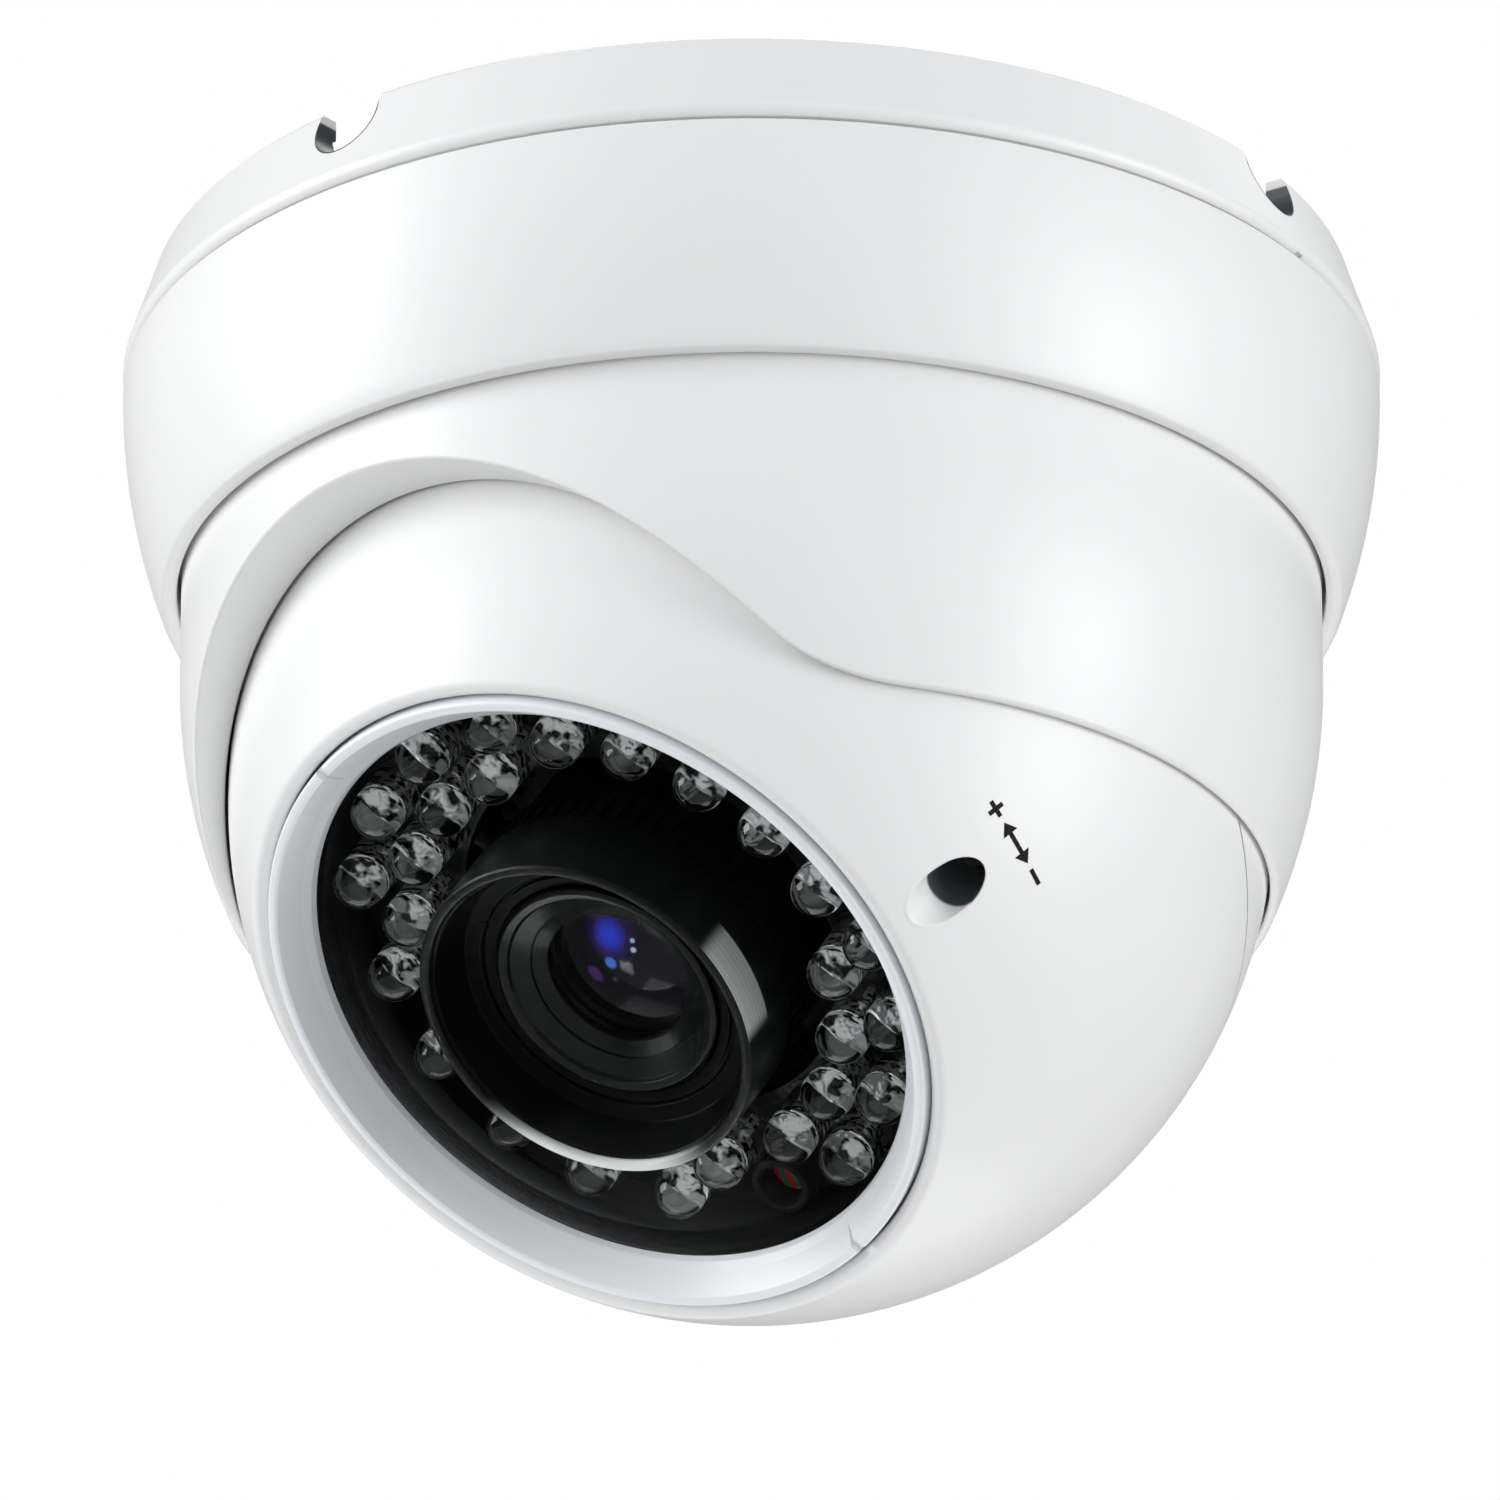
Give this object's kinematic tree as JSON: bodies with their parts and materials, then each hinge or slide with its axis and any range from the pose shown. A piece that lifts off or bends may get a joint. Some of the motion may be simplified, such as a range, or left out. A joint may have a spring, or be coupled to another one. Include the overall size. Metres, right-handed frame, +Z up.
{
  "type": "dome security camera",
  "caption": "Ceiling dome camera: fixed base and trim ring, pan collar with cut-away front, tilting eyeball with infrared lights around a geared varifocal lens.",
  "frame": {"origin": "centre of the ceiling mounting face", "axes": "+Z points up into the ceiling, -Y is the way the eyeball looks at rest, X is the tilt axis"},
  "size_m": [0.1196, 0.1196, 0.1009],
  "materials": {
    "white_paint": "satin white powder coat with a fine orange peel",
    "seal_rubber": "matte black rubber",
    "felt": "grey felt",
    "nylon": "natural nylon",
    "spring_steel": "blued spring steel",
    "zinc_steel": "zinc plated steel",
    "clear_cover": "clear polished polycarbonate",
    "black_plastic": "moulded black plastic",
    "black_anodised": "turned and black anodised",
    "led_epoxy": "clear epoxy",
    "photocell_face": "clear-coated sensor face with a red track",
    "board_black": "black solder mask",
    "board_green": "green solder mask",
    "brass": "turned brass",
    "lens_glass": "coated optical glass",
    "sensor_face": "sensor package",
    "connector_plastic": "moulded ivory plastic"
  },
  "bodies": {
    "base": {"mounting_base": "white_paint", "base_gasket": "seal_rubber", "cable_grommet": "seal_rubber", "trim_ring": "white_paint", "pan_glide_washer": "nylon", "pan_wave_spring": "spring_steel", "pan_retaining_ring": "spring_steel", "pan_stop_pin": "zinc_steel"},
    "pan": {"pan_collar": "white_paint", "collar_felt_ring": "felt", "tilt_pins": "zinc_steel", "tilt_washers": "nylon"},
    "head": {"front_shell": "white_paint", "rear_shell": "white_paint", "shell_o_ring": "seal_rubber", "shell_screws": "zinc_steel", "window_bezel": "white_paint", "window_dome": "clear_cover", "window_gasket": "seal_rubber", "light_shroud": "black_plastic", "led_board": "board_black", "led_board_screws": "zinc_steel", "ir_leds": "led_epoxy", "photocell_tube": "black_plastic", "photocell": "photocell_face", "gear_bracket": "zinc_steel", "bracket_screws": "zinc_steel", "spindle_bushes": "brass", "idler_clips": "spring_steel", "lens_barrel": "black_anodised", "middle_element": "lens_glass", "rear_element": "lens_glass", "lens_mount": "black_plastic", "image_sensor": "sensor_face", "sensor_board": "board_green", "board_standoffs": "brass", "board_screws": "zinc_steel", "power_board": "board_green", "board_connector": "connector_plastic", "cable_gland": "black_plastic", "gland_nut": "black_plastic", "gland_seal": "seal_rubber"},
    "zoom_ring": {"zoom_ring": "black_plastic"},
    "zoom_idler": {"zoom_idler": "nylon"},
    "zoom_spindle": {"zoom_spindle": "zinc_steel"},
    "focus_ring": {"focus_ring": "black_plastic", "focus_lock_peg": "black_plastic", "front_barrel": "black_anodised", "element_retainer": "black_anodised", "front_element": "lens_glass"},
    "focus_idler": {"focus_idler": "nylon"},
    "focus_spindle": {"focus_spindle": "zinc_steel"}
  },
  "joints": [
    {"name": "pan_turn", "type": "hinge", "parent": "base", "child": "pan", "pos_m": [0, 0, -0.0256], "axis": [0, 0, 1], "range_deg": [-175, 175]},
    {"name": "tilt_turn", "type": "hinge", "parent": "pan", "child": "head", "pos_m": [0, 0, -0.0519], "axis": [-1, 0, 0], "range_deg": [-37, 27]},
    {"name": "zoom_ring_turn", "type": "hinge", "parent": "head", "child": "zoom_ring", "pos_m": [0, -0.00422, -0.05748], "axis": [0, -0.6032, -0.7976], "range_deg": [-40, 40]},
    {"name": "zoom_idler_turn", "type": "hinge", "parent": "head", "child": "zoom_idler", "pos_m": [0.02666, -0.00193, -0.05921], "axis": [0, -0.6032, -0.7976], "range_deg": [-90, 90]},
    {"name": "zoom_spindle_turn", "type": "hinge", "parent": "head", "child": "zoom_spindle", "pos_m": [0.039, -0.00087, -0.06002], "axis": [0, -0.6032, -0.7976], "range_deg": [-186, 186]},
    {"name": "focus_ring_turn", "type": "hinge", "parent": "head", "child": "focus_ring", "pos_m": [0, -0.00724, -0.06147], "axis": [0, -0.6032, -0.7976], "range_deg": [-40, 40]},
    {"name": "focus_idler_turn", "type": "hinge", "parent": "head", "child": "focus_idler", "pos_m": [-0.02666, -0.00495, -0.0632], "axis": [0, -0.6032, -0.7976], "range_deg": [-90, 90]},
    {"name": "focus_spindle_turn", "type": "hinge", "parent": "head", "child": "focus_spindle", "pos_m": [-0.039, -0.00389, -0.064], "axis": [0, -0.6032, -0.7976], "range_deg": [-186, 186]}
  ],
  "couplings": [
    {"joint": "zoom_idler_turn", "follows": "zoom_ring_turn", "ratio": -2.1905},
    {"joint": "zoom_spindle_turn", "follows": "zoom_ring_turn", "ratio": 4.6},
    {"joint": "focus_idler_turn", "follows": "focus_ring_turn", "ratio": -2.1905},
    {"joint": "focus_spindle_turn", "follows": "focus_ring_turn", "ratio": 4.6}
  ]
}
